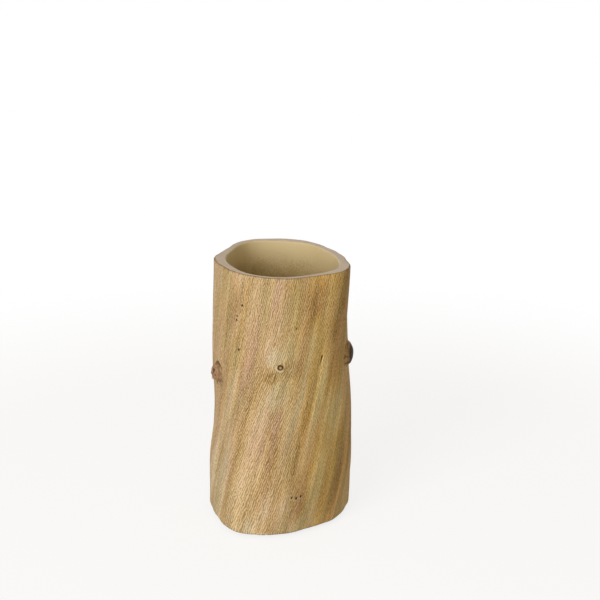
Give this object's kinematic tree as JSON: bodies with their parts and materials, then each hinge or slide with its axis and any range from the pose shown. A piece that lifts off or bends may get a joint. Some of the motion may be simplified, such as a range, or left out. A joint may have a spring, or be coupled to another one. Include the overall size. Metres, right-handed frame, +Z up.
{
  "type": "toothbrush cup",
  "caption": "Open cast cup in the shape of a short log with its bark off, with spiral grain and knots, on soft feet. It holds toothbrushes upright beside a basin.",
  "frame": {"origin": "centre of the cup's box, on the surface that it stands on", "axes": "+Z up through the open mouth, -Y towards the pictured front, +X to the right-hand side with the branch stub"},
  "size_m": [0.066, 0.0654, 0.1215],
  "materials": {
    "cast_resin": "filled resin, hand-stained to look like bare wood, satin",
    "clear_soft_plastic": "clear soft polyurethane, smooth"
  },
  "bodies": {
    "root": {"cup_body": "cast_resin", "foot_back_left": "clear_soft_plastic", "foot_back_right": "clear_soft_plastic", "foot_front_left": "clear_soft_plastic", "foot_front_right": "clear_soft_plastic"}
  },
  "joints": []
}
